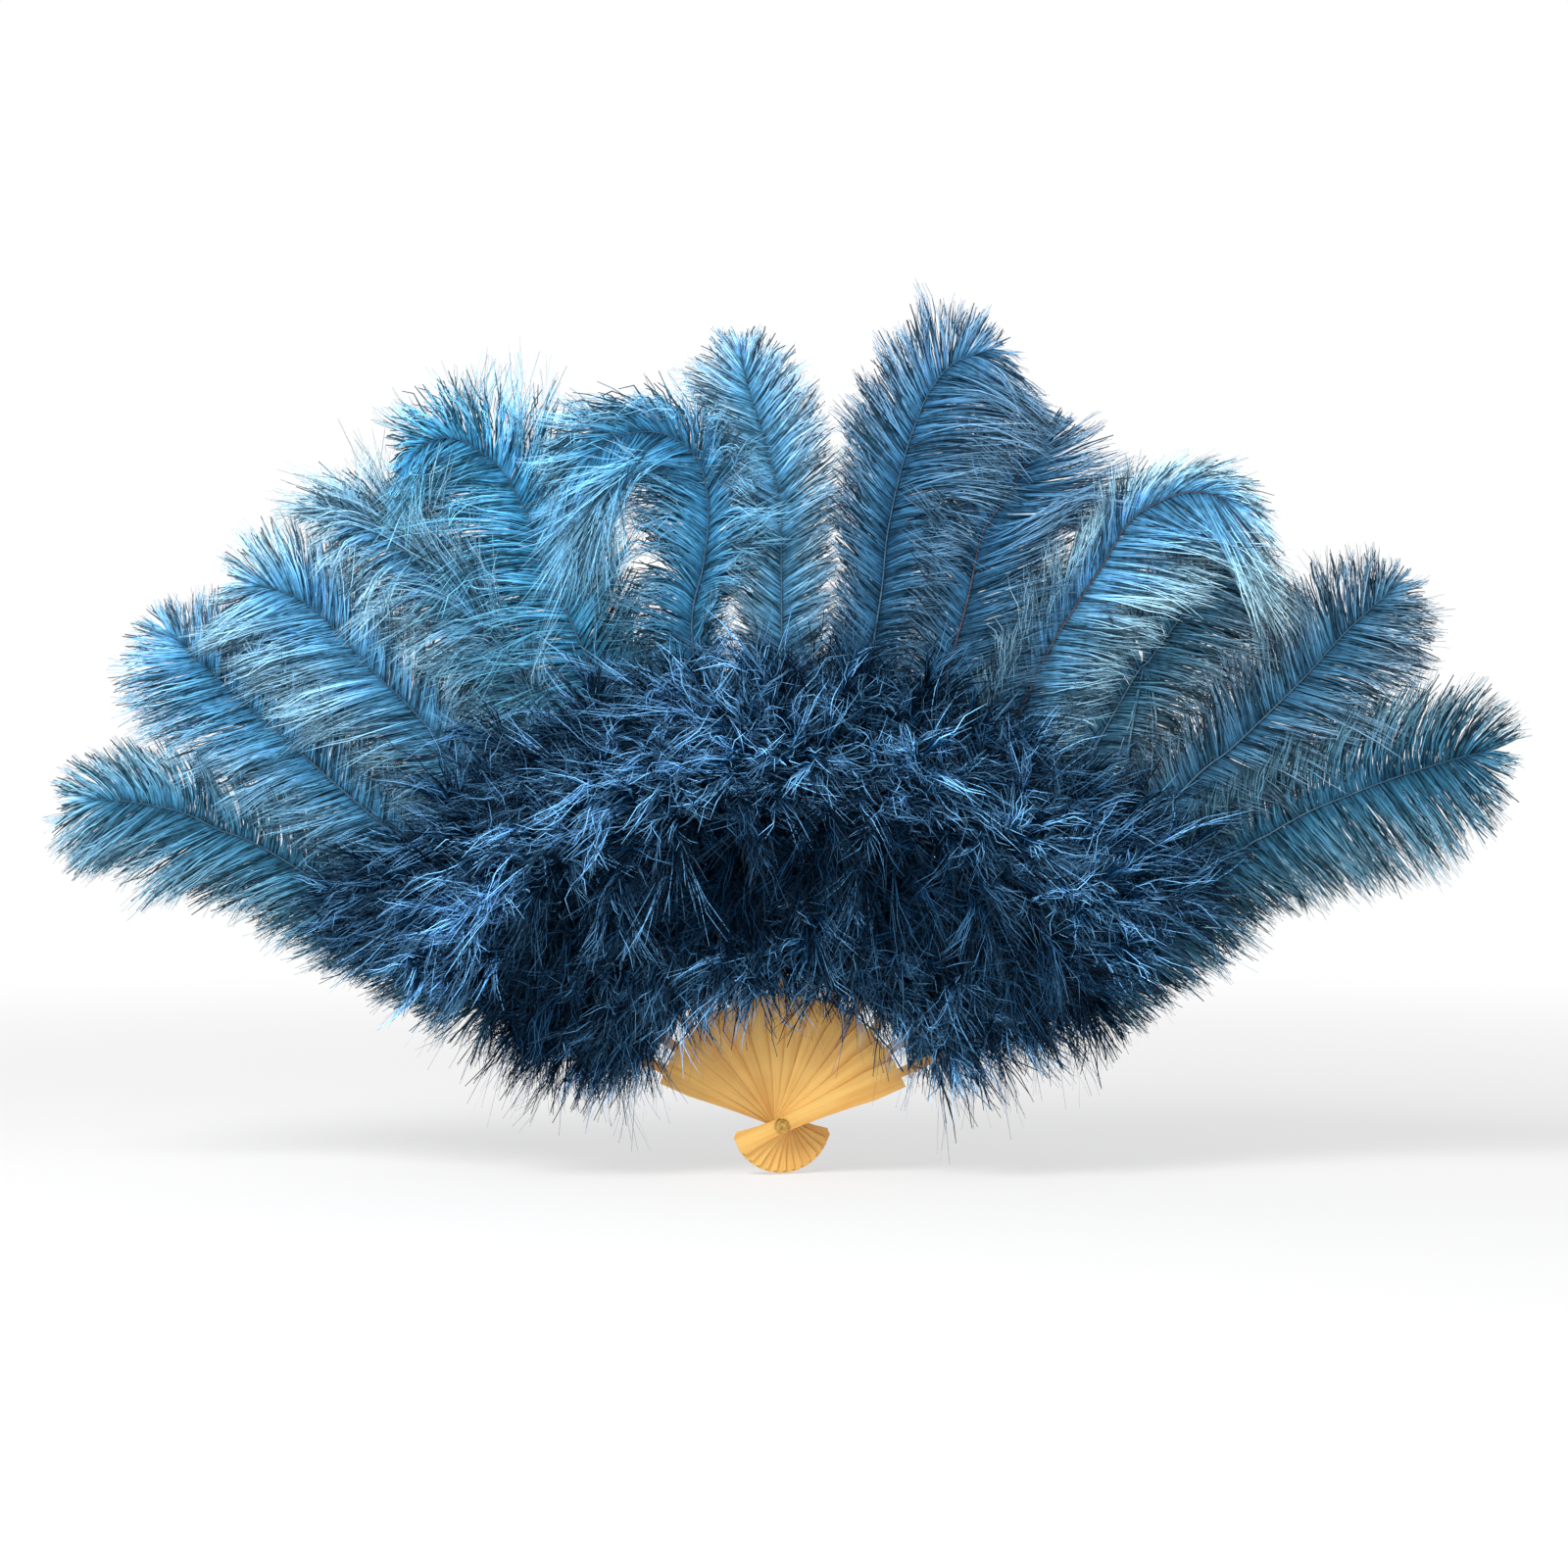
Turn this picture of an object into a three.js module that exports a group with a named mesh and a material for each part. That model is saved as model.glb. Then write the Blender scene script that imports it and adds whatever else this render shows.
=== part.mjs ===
// Folding feather fan, shown open.
// It stands in the XZ plane with its front towards -Y, +X to its right as seen from the front and +Z up
// along the centre stick. The origin is the middle of the rivet. Lengths are in millimetres.
// Sticks are numbered from the left guard, -6, through the centre stick, 0, to the right guard, 6.
// Each stick lies in a layer of its own, and every stick lies in front of its left-hand neighbour.

import * as THREE from 'three';

// Spread and clearance
const sticks_each_side = 6;
const stick_pitch_deg = 11;
const running_gap = 0.3;

// Stick: a flared tail, a pivot hole, a wide blade with a square end, and a narrow rib with a forked tip
const stick_thick = 2;
const guard_thick = 2.6;
const edge_break = 0.25;
const tail_length = 41;
const tail_width = 21;
const tail_corner = 4;
const neck_width = 13;
const blade_width = 25;
const blade_end_radius = 107;
const rib_root_width = 8;
const rib_tip_width = 6.4;
const rib_end_radius = 290;
const fork_depth = 40;
const tail_curve_share = 0.45;
const blade_curve_share = 0.3;
const blade_straight_share = 0.75;

// Rivet
const rivet_radius = 2;
const rivet_head_radius = 5.5;
const rivet_head_thick = 1.6;
const rivet_cap_radius = 4.5;
const rivet_cap_thick = 2.4;
const rivet_cap_end = 0.9;
const rivet_edge = 0.4;
const washer_radius = 6.5;
const washer_thick = 0.8;

// Link cord, which crosses the ribs between the blades and the fluff and stops the fan at its full spread
const cord_thick = 0.8;
const cord_width = 1.6;

// Plume: a long feather whose quill sits in the fork of its rib, and whose tip curls to the front
const quill_width = 2.4;
const plume_clearance = 0.9;
const plume_edge_thick = 0.5;
const plume_radius = 700;
const plume_half_width = 95;
const plume_curl = 35;
const plume_bare_quill = 6;
const vane_width_shares = [0.04, 0.24, 0.46, 0.64, 0.8, 0.93, 1, 0.97, 0.86, 0.62, 0.12];
const vane_column_shares = [-1, -0.5, 0, 0.5, 1];

// One row for each plume, from left to right. A lean turns it to the right of its stick, in degrees
const plume_shapes = [
  { tip_share: 0.94, mid_lean_deg: 3.8, tip_lean_deg: 1.5, left_share: 0.85, right_share: 0.95 },
  { tip_share: 0.97, mid_lean_deg: 4.5, tip_lean_deg: 3.5, left_share: 1, right_share: 0.85 },
  { tip_share: 0.94, mid_lean_deg: 2, tip_lean_deg: 0, left_share: 1, right_share: 1 },
  { tip_share: 0.92, mid_lean_deg: 1.5, tip_lean_deg: -3, left_share: 1.15, right_share: 0.9 },
  { tip_share: 0.95, mid_lean_deg: -0.5, tip_lean_deg: -1, left_share: 1.25, right_share: 1 },
  { tip_share: 0.86, mid_lean_deg: 5, tip_lean_deg: -1, left_share: 1.2, right_share: 0.8 },
  { tip_share: 0.945, mid_lean_deg: 0, tip_lean_deg: -2.9, left_share: 0.9, right_share: 0.7 },
  { tip_share: 1, mid_lean_deg: -0.7, tip_lean_deg: 3.2, left_share: 0.95, right_share: 1.1 },
  { tip_share: 0.91, mid_lean_deg: -2.5, tip_lean_deg: -0.5, left_share: 0.8, right_share: 0.8 },
  { tip_share: 0.945, mid_lean_deg: -3, tip_lean_deg: 1, left_share: 0.85, right_share: 1.35 },
  { tip_share: 0.86, mid_lean_deg: -5, tip_lean_deg: -3, left_share: 0.85, right_share: 0.85 },
  { tip_share: 0.99, mid_lean_deg: -4.7, tip_lean_deg: -6, left_share: 0.75, right_share: 0.8 },
  { tip_share: 1, mid_lean_deg: -6.2, tip_lean_deg: -3.5, left_share: 0.75, right_share: 0.9 },
];

// Fluff: a bunch of soft feathers on the front and on the back of every rib, in three overlapping tiers
const fluff_blade_gap = 6;
const fluff_reach = 123;
const fluff_loft = 43;
const fluff_rise_run = 26;
const fluff_root_margin = 3;
const guard_fluff_droop = 70;
const fluff_reach_shares = [1.33, 1.13, 0.93, 0.9, 0.9, 0.97, 1, 0.97, 0.87, 1.07, 1.27, 1.17, 1.1];
const fluff_round_share = 0.04;
const root_radius_shares = [0, 0.13, 0.34, 0.56, 0.78, 1];
const root_loft_shares = [0.32, 0.78, 0.93, 0.81, 1, 0.89];
const root_droop_shares = [0.85, 1, 0.95, 0.75, 0.68, 0.64];
const tip_radius_shares = [0, 0.36, 0.72, 1];
const tip_loft_shares = [0.97, 0.86, 0.7, 0.46];
const tip_droop_shares = [0.6, 0.55, 0.45, 0.3];
const fluff_column_shares = [-1, -0.5, 0, 0.5, 1];
const fluff_edge_loft_share = 0.75;
const guard_edge_loft_share = 0.5;

// Colours and finishes
const stick_finish = { color: 0xe6b565, roughness: 0.42, metalness: 0 };
const brass_finish = { color: 0xc9a24a, roughness: 0.3, metalness: 1 };
const cord_finish = { color: 0x1d4a72, roughness: 0.8, metalness: 0 };
const plume_finish = { color: 0x2f74a4, roughness: 0.9, metalness: 0 };
const fluff_finish = { color: 0x1c4a72, roughness: 0.95, metalness: 0 };

const hole_points = 12;
const curve_points = 4;
const round_points = 24;

const layer_pitch = stick_thick + running_gap;
const guard_extra = guard_thick - stick_thick;
const fork_width = quill_width + 2 * running_gap;
const fork_root_radius = rib_end_radius - fork_depth;
const hole_radius = rivet_radius + running_gap;
const plume_thick = layer_pitch - plume_clearance;
const vane_start_radius = rib_end_radius + plume_bare_quill;
const fluff_start_radius = blade_end_radius + fluff_blade_gap;
const cord_radius = blade_end_radius + fluff_blade_gap / 2;
const sector_half_angle = THREE.MathUtils.degToRad(stick_pitch_deg / 2);

const stick_angle = (k) => THREE.MathUtils.degToRad(k * stick_pitch_deg);
const layer = (k) => -k * layer_pitch;
const is_guard = (k) => Math.abs(k) === sticks_each_side;
const front_face = (k) => layer(k) - stick_thick / 2 - (k === sticks_each_side ? guard_extra : 0);
const back_face = (k) => layer(k) + stick_thick / 2 + (k === -sticks_each_side ? guard_extra : 0);
const blend = (a, b, share) => a + (b - a) * share;
const row_of = (table, k) => table[(k + sticks_each_side) % table.length];
const pack_front = front_face(sticks_each_side);
const pack_back = back_face(-sticks_each_side);

function side_name(k) {
  if (k === 0) return 'centre';
  return `${k < 0 ? 'left' : 'right'}_${Math.abs(k)}`;
}

function stick_name(k) {
  return is_guard(k) ? `${k < 0 ? 'left' : 'right'}_guard` : `stick_${side_name(k)}`;
}

function piece(name, geometry, finish) {
  const mesh = new THREE.Mesh(geometry, new THREE.MeshStandardMaterial(finish));
  mesh.name = name;
  return mesh;
}

// A point at a distance from the rivet, turned to the right of straight up
function polar(radius, angle, y) {
  return new THREE.Vector3(radius * Math.sin(angle), y, radius * Math.cos(angle));
}

// A closed slab between two grids of points. Rows run outwards from the rivet and columns to the right
function slab(front, back) {
  const rows = front.length;
  const columns = front[0].length;
  const positions = [...front, ...back].flat().flatMap((p) => [p.x, p.y, p.z]);
  const faces = [];
  const at = (side, row, column) => (side * rows + row) * columns + column;
  const quad = (a, b, c, d) => faces.push(a, b, c, a, c, d);
  for (let row = 0; row + 1 < rows; row += 1) {
    for (let col = 0; col + 1 < columns; col += 1) {
      quad(at(0, row, col), at(0, row, col + 1), at(0, row + 1, col + 1), at(0, row + 1, col));
      quad(at(1, row, col), at(1, row + 1, col), at(1, row + 1, col + 1), at(1, row, col + 1));
    }
    const last = columns - 1;
    quad(at(0, row, 0), at(0, row + 1, 0), at(1, row + 1, 0), at(1, row, 0));
    quad(at(0, row, last), at(1, row, last), at(1, row + 1, last), at(0, row + 1, last));
  }
  for (let col = 0; col + 1 < columns; col += 1) {
    const top = rows - 1;
    quad(at(0, 0, col), at(1, 0, col), at(1, 0, col + 1), at(0, 0, col + 1));
    quad(at(0, top, col), at(0, top, col + 1), at(1, top, col + 1), at(1, top, col));
  }
  const geometry = new THREE.BufferGeometry();
  geometry.setAttribute('position', new THREE.Float32BufferAttribute(positions, 3));
  geometry.setIndex(faces);
  geometry.computeVertexNormals();
  return geometry;
}

// The right-hand half of a stick's outline from the tail to the fork, curved in at the pivot
function half_outline() {
  const path = new THREE.Path();
  path.moveTo(tail_width / 2 - tail_corner, -tail_length);
  path.lineTo(tail_width / 2, -tail_length + tail_corner);
  path.quadraticCurveTo(neck_width / 2, -tail_length * tail_curve_share, neck_width / 2, 0);
  path.quadraticCurveTo(
    neck_width / 2, blade_end_radius * blade_curve_share,
    blade_width / 2, blade_end_radius * blade_straight_share,
  );
  path.lineTo(blade_width / 2, blade_end_radius);
  path.lineTo(rib_root_width / 2, blade_end_radius);
  path.lineTo(rib_tip_width / 2, rib_end_radius);
  path.lineTo(fork_width / 2, rib_end_radius);
  path.lineTo(fork_width / 2, fork_root_radius);
  return path.getPoints(curve_points);
}

function stick(k) {
  const right = half_outline();
  const left = right.map((p) => new THREE.Vector2(-p.x, p.y)).reverse();
  const outline = new THREE.Shape([...right, ...left]);
  const hole = new THREE.Path().absarc(0, 0, hole_radius, 0, 2 * Math.PI, true);
  outline.holes.push(new THREE.Path(hole.getPoints(hole_points / 2)));
  const thick = back_face(k) - front_face(k);
  const geometry = new THREE.ExtrudeGeometry(outline, {
    depth: thick - 2 * edge_break,
    steps: 1,
    bevelThickness: edge_break,
    bevelSize: edge_break,
    bevelOffset: -edge_break,
    bevelSegments: 1,
  });
  geometry.rotateX(Math.PI / 2);
  const mesh = piece(stick_name(k), geometry, stick_finish);
  mesh.position.y = back_face(k) - edge_break;
  mesh.rotation.y = stick_angle(k);
  return mesh;
}

// How far the plumes curl to the front at a distance from the rivet, all alike so that they pass each other
function curl(radius) {
  const run = plume_radius - rib_end_radius;
  return -plume_curl * (Math.max(radius - rib_end_radius, 0) / run) ** 2;
}

// The lean follows a curve that starts straight on its rib and passes its middle and tip leans
function lean(shape, share) {
  const middle = 0.5;
  const start = (share - middle) * (share - 1) / middle;
  const mid_weight = share * (1 - share) / (middle * (1 - middle));
  const tip_weight = 1 - start - mid_weight;
  return THREE.MathUtils.degToRad(shape.mid_lean_deg * mid_weight + shape.tip_lean_deg * tip_weight);
}

function plume(k) {
  const shape = row_of(plume_shapes, k);
  const tip_radius = plume_radius * shape.tip_share;
  const quill = quill_width / 2;
  const stations = [
    { radius: fork_root_radius + running_gap, turn: 0, left: quill, right: quill },
    { radius: rib_end_radius + running_gap, turn: 0, left: quill, right: quill },
  ];
  vane_width_shares.forEach((width_share, i) => {
    const share = i / (vane_width_shares.length - 1);
    const half_width = plume_half_width * width_share;
    stations.push({
      radius: blend(vane_start_radius, tip_radius, share),
      turn: lean(shape, share),
      left: Math.max(half_width * shape.left_share, quill),
      right: Math.max(half_width * shape.right_share, quill),
    });
  });
  const grid = (face) => stations.map((station) => vane_column_shares.map((across) => {
    const width = across < 0 ? station.left : station.right;
    const half_thick = blend(plume_thick, plume_edge_thick, across ** 2) / 2;
    const y = layer(k) + curl(station.radius) + face * half_thick;
    return polar(station.radius, station.turn + across * width / station.radius, y);
  }));
  const mesh = piece(`plume_${side_name(k)}`, slab(grid(-1), grid(1)), plume_finish);
  mesh.rotation.y = stick_angle(k);
  return mesh;
}

// The distances from the rivet at which a bunch of fluff is drawn, with its loft and droop there
function fluff_stations(k) {
  const root_end = rib_end_radius - fluff_root_margin;
  const tip_start = rib_end_radius + fluff_rise_run;
  const tip_end = rib_end_radius + fluff_reach * row_of(fluff_reach_shares, k);
  const root = root_radius_shares.map((share, i) => ({
    radius: blend(fluff_start_radius, root_end, share),
    rounding: 0,
    loft: fluff_loft * root_loft_shares[i],
    droop: guard_fluff_droop * root_droop_shares[i],
    raised: false,
  }));
  const tip = tip_radius_shares.map((share, i) => ({
    radius: blend(tip_start, tip_end, share),
    rounding: fluff_round_share * share,
    loft: fluff_loft * tip_loft_shares[i],
    droop: guard_fluff_droop * tip_droop_shares[i],
    raised: true,
  }));
  return [...root, ...tip];
}

// Near the rivet a bunch lies on its own rib, and further out it rises over the plumes of all the layers
function fluff_seat(k, face, raised, bend) {
  if (!raised) return (face < 0 ? front_face(k) : back_face(k)) + face * running_gap;
  const outermost = layer(face < 0 ? sticks_each_side : -sticks_each_side);
  return outermost + bend + face * (plume_thick / 2 + running_gap);
}

function fluff(k, face) {
  const outward = Math.sign(k);
  const pack_face = face < 0 ? pack_front : pack_back;
  const grid = (seated) => fluff_stations(k).map((station) => fluff_column_shares.map((across) => {
    const radius = station.radius * (1 - station.rounding * across ** 2);
    const sector = radius * Math.sin(sector_half_angle) - running_gap / 2;
    const hangs = is_guard(k) && across * outward > 0;
    const offset = across * (hangs ? Math.max(station.droop, sector) : sector);
    const edge_share = hangs ? guard_edge_loft_share : fluff_edge_loft_share;
    const loft = station.loft * blend(1, edge_share, across ** 2);
    const bend = face < 0 ? curl(radius) : 0;
    const y = seated ? fluff_seat(k, face, station.raised, bend) : pack_face + bend + face * loft;
    return polar(radius, Math.asin(offset / radius), y);
  }));
  const side = face < 0 ? 'front' : 'back';
  const geometry = slab(grid(face > 0), grid(face < 0));
  const mesh = piece(`marabou_${side}_${side_name(k)}`, geometry, fluff_finish);
  mesh.rotation.y = stick_angle(k);
  return mesh;
}

// The cord steps to the front between each rib and the next, and lies on the front of every rib
function link_cord() {
  const half_rib = Math.asin((rib_root_width / 2 + running_gap) / cord_radius);
  const stops = [];
  for (let k = -sticks_each_side; k <= sticks_each_side; k += 1) {
    const y = front_face(k) - running_gap;
    stops.push({ angle: stick_angle(k) - half_rib, y }, { angle: stick_angle(k) + half_rib, y });
  }
  const grid = (shift) => [-1, 1].map((row) => (
    stops.map((stop) => polar(cord_radius + row * cord_width / 2, stop.angle, stop.y + shift))
  ));
  return piece('link_cord', slab(grid(-cord_thick), grid(0)), cord_finish);
}

// Turns a profile of [radius, y] corners about the rivet's axis
function turned(name, corners) {
  const profile = corners.map(([radius, y]) => new THREE.Vector2(radius, y));
  return piece(name, new THREE.LatheGeometry(profile, round_points), brass_finish);
}

const head_seat = pack_front - 2 * running_gap - washer_thick;
const cap_seat = pack_back + 2 * running_gap + washer_thick;
const cap_back = cap_seat + rivet_cap_thick;

function washer(side) {
  const near = side === 'front' ? pack_front - running_gap : pack_back + running_gap;
  const far = side === 'front' ? near - washer_thick : near + washer_thick;
  const low = Math.min(near, far);
  const high = Math.max(near, far);
  const corners = [[hole_radius, low], [washer_radius, low], [washer_radius, high], [hole_radius, high]];
  return turned(`washer_${side}`, [...corners, corners[0]]);
}

function rivet_pin() {
  const head_front = head_seat - rivet_head_thick;
  return turned('rivet_pin', [
    [0, head_front],
    [rivet_head_radius - rivet_edge, head_front],
    [rivet_head_radius, head_front + rivet_edge],
    [rivet_head_radius, head_seat],
    [rivet_radius, head_seat],
    [rivet_radius, cap_back - rivet_cap_end - running_gap],
    [0, cap_back - rivet_cap_end - running_gap],
  ]);
}

function rivet_cap() {
  return turned('rivet_cap', [
    [0, cap_back - rivet_cap_end],
    [hole_radius, cap_back - rivet_cap_end],
    [hole_radius, cap_seat],
    [rivet_cap_radius, cap_seat],
    [rivet_cap_radius, cap_back - rivet_edge],
    [rivet_cap_radius - rivet_edge, cap_back],
    [0, cap_back],
  ]);
}

const fan = new THREE.Group();
for (let k = -sticks_each_side; k <= sticks_each_side; k += 1) {
  fan.add(stick(k), plume(k), fluff(k, -1), fluff(k, 1));
}
fan.add(link_cord(), rivet_pin(), rivet_cap(), washer('front'), washer('back'));

export default fan;
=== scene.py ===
"""Folding feather fan: golden sticks, long curled plumes and thick marabou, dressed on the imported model."""

import math
import random
from typing import NamedTuple

import bpy
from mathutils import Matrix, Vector


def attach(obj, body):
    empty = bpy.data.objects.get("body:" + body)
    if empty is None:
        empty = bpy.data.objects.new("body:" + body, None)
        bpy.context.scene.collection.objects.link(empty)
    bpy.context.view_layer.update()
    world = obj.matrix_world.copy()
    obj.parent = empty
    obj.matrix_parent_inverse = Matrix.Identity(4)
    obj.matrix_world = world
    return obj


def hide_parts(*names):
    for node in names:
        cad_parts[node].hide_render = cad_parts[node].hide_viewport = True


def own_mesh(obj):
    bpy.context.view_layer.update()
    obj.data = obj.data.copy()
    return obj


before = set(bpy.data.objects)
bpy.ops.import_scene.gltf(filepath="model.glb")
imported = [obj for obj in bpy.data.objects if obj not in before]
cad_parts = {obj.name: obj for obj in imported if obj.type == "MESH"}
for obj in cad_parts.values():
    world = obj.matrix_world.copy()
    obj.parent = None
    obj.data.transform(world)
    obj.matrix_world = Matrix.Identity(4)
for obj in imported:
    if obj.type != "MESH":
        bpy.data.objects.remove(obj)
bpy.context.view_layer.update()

MM = 0.001

# The picture: its side in pixels, and the size of a pixel at the fan
PHOTO_SIDE = 1600
PIXEL = 0.82 * MM

# The camera: its place, how far it stands back, and the width of its sensor in mm
CAMERA_X = 0.0016
CAMERA_Z = 0.284
CAMERA_BACK = 2.6
SENSOR = 36.0

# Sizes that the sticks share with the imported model; stick 0 is the centre's, and -6 and 6 are the guards
STICKS_EACH_SIDE = 6
STICKS = range(-STICKS_EACH_SIDE, STICKS_EACH_SIDE + 1)
STICK_PITCH = math.radians(11)
LAYER_PITCH = 2.3 * MM
FORK_RADIUS = 262 * MM
CORD_RADIUS = 110 * MM

DOWN = Vector((0, 0, -1))
FRONT = Vector((0, -1, 0))


def side_name(k):
    """The part of a piece's name that says which stick it belongs to."""
    if k == 0:
        return "centre"
    return f"left_{-k}" if k < 0 else f"right_{k}"


def stick_node(k):
    """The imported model's node of a stick."""
    if abs(k) == STICKS_EACH_SIDE:
        return "left_guard" if k < 0 else "right_guard"
    return f"stick_{side_name(k)}"


def fold_joint(k):
    """The joint that gathers a stick's feathers; those of the centre gather with the left half."""
    return "left_6_fold" if k == 0 else f"{side_name(k)}_fold"


def polar(radius, angle, y):
    """The point at a radius from the rivet and an angle from upright, at depth y."""
    return Vector((radius * math.sin(angle), y, radius * math.cos(angle)))


def radial(angle):
    """The way along a stick at this angle."""
    return Vector((math.sin(angle), 0, math.cos(angle)))


def sideways(angle):
    """The way across it, clockwise as seen from the front."""
    return Vector((math.cos(angle), 0, -math.sin(angle)))


def layer(k):
    """The depth of a stick's layer: each stick lies in front of its left-hand neighbour."""
    return -k * LAYER_PITCH


def at_pixel(px, py, y):
    """The point at depth y that shows at a pixel of the picture."""
    scale = PIXEL * (CAMERA_BACK + y) / CAMERA_BACK
    half = PHOTO_SIDE / 2
    return Vector((CAMERA_X + (px - half) * scale, y, CAMERA_Z - (py - half) * scale))


def linear(red, green, blue):
    """A colour as the shaders want it, from the 0 to 255 values that a screen shows."""
    def channel(value):
        share = value / 255
        return share / 12.92 if share <= 0.04045 else ((share + 0.055) / 1.055) ** 2.4

    return (channel(red), channel(green), channel(blue), 1.0)


# Node trees written as sums


def find_socket(sockets, key):
    """A socket by its number, its identifier, or the name of one that is in use."""
    if isinstance(key, int):
        return sockets[key]
    for socket in sockets:
        if socket.identifier == key:
            return socket
    return next(socket for socket in sockets if socket.enabled and socket.name == key)


class Wire:
    """One outlet in a node tree; a sign between wires adds the node that works it out."""

    def __init__(self, net, socket):
        self.net = net
        self.socket = socket

    def pick(self, key):
        """Another outlet of the same node."""
        return Wire(self.net, find_socket(self.socket.node.outputs, key))

    def __add__(self, other):
        return self.net.sum("ADD", self, other)

    def __radd__(self, other):
        return self.net.sum("ADD", other, self)

    def __sub__(self, other):
        return self.net.sum("SUBTRACT", self, other)

    def __rsub__(self, other):
        return self.net.sum("SUBTRACT", other, self)

    def __mul__(self, other):
        return self.net.sum("MULTIPLY", self, other)

    def __rmul__(self, other):
        return self.net.sum("MULTIPLY", other, self)

    def __truediv__(self, other):
        return self.net.sum("DIVIDE", self, other)

    def __pow__(self, other):
        return self.net.sum("POWER", self, other)

    def __mod__(self, other):
        return self.net.sum("FLOORED_MODULO", self, other)


def is_vector(value):
    if isinstance(value, Wire):
        return value.socket.type in ("VECTOR", "RGBA")
    return isinstance(value, tuple)


class Net:
    """A node tree that grows as it is written."""

    def __init__(self, tree):
        self.tree = tree

    def node(self, kind, settings=None, inputs=None, out=None):
        """A node of one type, with its settings first and then the values or wires of its sockets."""
        made = self.tree.nodes.new(kind)
        for name, value in (settings or {}).items():
            setattr(made, name, value)
        for key, value in (inputs or {}).items():
            socket = find_socket(made.inputs, key)
            if isinstance(value, Wire):
                self.tree.links.new(value.socket, socket)
            else:
                socket.default_value = value
        if not made.outputs:
            return made
        if out is None:
            return Wire(self, next(s for s in made.outputs if s.enabled))
        return Wire(self, find_socket(made.outputs, out))

    def sum(self, sign, left, right):
        pair = [left, right]
        kinds = [is_vector(value) for value in pair]
        if sign == "MULTIPLY" and any(kinds) and not all(kinds):
            vector, number = pair if kinds[0] else pair[::-1]
            return self.node("ShaderNodeVectorMath", {"operation": "SCALE"}, {0: vector, "Scale": number})
        kind = "ShaderNodeVectorMath" if any(kinds) else "ShaderNodeMath"
        return self.node(kind, {"operation": sign}, {0: left, 1: right})

    def math(self, sign, *values):
        """One sum on numbers."""
        return self.node("ShaderNodeMath", {"operation": sign}, dict(enumerate(values)))

    def vector(self, sign, *values, out=None):
        """One sum on vectors."""
        return self.node("ShaderNodeVectorMath", {"operation": sign}, dict(enumerate(values)), out)

    def parts(self, vector):
        """The three parts of a vector."""
        made = self.node("ShaderNodeSeparateXYZ", {}, {"Vector": vector})
        return made, made.pick("Y"), made.pick("Z")

    def joined(self, x, y, z):
        return self.node("ShaderNodeCombineXYZ", {}, {"X": x, "Y": y, "Z": z})

    def mix(self, share, low, high):
        """From low to high as share goes from 0 to 1, for numbers or vectors."""
        kind = "VECTOR" if is_vector(low) or is_vector(high) else "FLOAT"
        tail = kind.capitalize()
        inputs = {"Factor_Float": share, f"A_{tail}": low, f"B_{tail}": high}
        return self.node("ShaderNodeMix", {"data_type": kind}, inputs, f"Result_{tail}")

    def tint(self, share, low, high, blend="MIX"):
        """A blend of two colours."""
        inputs = {"Factor_Float": share, "A_Color": low, "B_Color": high}
        settings = {"data_type": "RGBA", "blend_type": blend}
        return self.node("ShaderNodeMix", settings, inputs, "Result_Color")

    def spread(self, value, low, high, new_low=0.0, new_high=1.0):
        """A smooth step from new_low to new_high as the value goes from low to high."""
        inputs = {"Value": value, "From Min": low, "From Max": high, "To Min": new_low, "To Max": new_high}
        return self.node("ShaderNodeMapRange", {"interpolation_type": "SMOOTHSTEP"}, inputs)

    def noise(self, place, scale, detail=2.0, out="Fac"):
        inputs = {"Vector": place, "Scale": scale, "Detail": detail}
        return self.node("ShaderNodeTexNoise", {}, inputs, out)

    # Geometry only

    def read(self, name, kind="FLOAT"):
        return self.node("GeometryNodeInputNamedAttribute", {"data_type": kind}, {"Name": name})

    def store(self, geometry, name, value, kind="FLOAT", domain="POINT"):
        inputs = {"Geometry": geometry, "Name": name, "Value": value}
        return self.node("GeometryNodeStoreNamedAttribute", {"data_type": kind, "domain": domain}, inputs)

    def chance(self, low, high, seed, owner=None):
        """A random number for each element, or for each owner number."""
        inputs = {"Min_001": low, "Max_001": high, "Seed": seed}
        if owner is not None:
            inputs["ID"] = owner
        return self.node("FunctionNodeRandomValue", {"data_type": "FLOAT"}, inputs)

    def chance_vector(self, size, seed, owner=None):
        """The same for a vector, up to size along each axis."""
        inputs = {"Min": (-1.0, -1.0, -1.0), "Max": (1.0, 1.0, 1.0), "Seed": seed}
        if owner is not None:
            inputs["ID"] = owner
        return self.node("FunctionNodeRandomValue", {"data_type": "FLOAT_VECTOR"}, inputs) * size


# The tree that grows feathers along quill lines

# Its named inputs: lengths in metres, turns in radians, and the rest as shares or counts
FEATHER_INPUTS = {
    "Barb Step": ("Float", 1.3 * MM),
    "Barbs per Step": ("Int", 6),
    "Barb Bends": ("Int", 8),
    "Barb Width": ("Float", 0.9 * MM),
    "Barb Roll": ("Float", 0.3),
    "Barb Unrest": ("Float", 0.1),
    "Barb Lift": ("Float", 0.12),
    "Hook": ("Float", 0.1),
    "Wave": ("Float", 2 * MM),
    "Tuft Width": ("Float", 9 * MM),
    "Tuft Pull": ("Float", 0.7),
    "Tuft Unrest": ("Float", 0.12),
    "Ragged": ("Float", 0.15),
    "Quill Radius": ("Float", 1.1 * MM),
    "Under Depth": ("Float", 1.5 * MM),
    "Depth Limit": ("Float", 70 * MM),
    "Seed": ("Int", 1),
    # The Dye material paints the barbs' light and shade as well as their dyed colour
    "Dye": ("Material", None),
    "Quill Dye": ("Material", None),
}

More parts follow.
